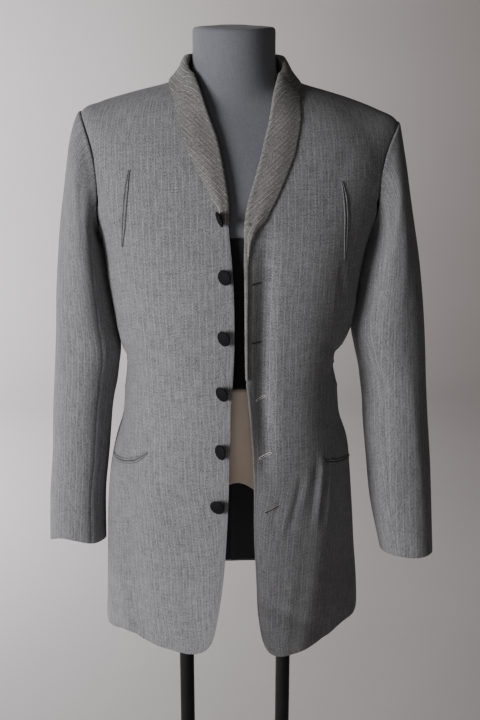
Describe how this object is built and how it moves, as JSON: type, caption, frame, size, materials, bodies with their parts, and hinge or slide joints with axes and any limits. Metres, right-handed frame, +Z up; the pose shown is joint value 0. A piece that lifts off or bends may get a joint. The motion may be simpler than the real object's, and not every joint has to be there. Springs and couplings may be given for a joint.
{
  "type": "blazer on a dress form",
  "caption": "Long single-breasted wool blazer with a narrow shawl collar, worn open on a limbless male dress form with a two-post stand.",
  "frame": {"origin": "centre of the base plate's underside, on the floor under the middle of the form", "axes": "+Z up, -Y towards the front of the garment, +X to the wearer's left"},
  "size_m": [0.602, 0.36, 1.5705],
  "materials": {
    "wool": "fine worsted with pale pinstripes, soft matte",
    "wool_bias": "the same worsted cut on the bias, stripes slanting",
    "wool_lip": "the same worsted folded into narrow lips",
    "lining": "black twill, faint sheen",
    "button_cloth": "black covered buttons, matte",
    "grey_jersey": "grey-blue knit cover, matte",
    "black_jersey": "black cover, matte",
    "pale_shell": "pale skin-coloured shell, satin",
    "black_steel": "black satin paint"
  },
  "bodies": {
    "root": {"front_right": "wool", "back_right": "wool", "lining_right": "lining", "sleeve_upper_right": "wool", "sleeve_under_right": "wool", "collar_right": "wool_bias", "chest_jet_in_right": "wool_lip", "chest_jet_out_right": "wool_lip", "hip_jet_top_right": "wool_lip", "hip_jet_low_right": "wool_lip", "post_right": "black_steel", "front_left": "wool", "back_left": "wool", "lining_left": "lining", "sleeve_upper_left": "wool", "sleeve_under_left": "wool", "collar_left": "wool_bias", "chest_jet_in_left": "wool_lip", "chest_jet_out_left": "wool_lip", "hip_jet_top_left": "wool_lip", "hip_jet_low_left": "wool_lip", "post_left": "black_steel", "button_1": "button_cloth", "button_2": "button_cloth", "button_3": "button_cloth", "button_4": "button_cloth", "button_5": "button_cloth", "button_6": "button_cloth", "form_hip": "pale_shell", "form_waist": "black_jersey", "form_chest": "grey_jersey", "base_plate": "black_steel"}
  },
  "joints": []
}
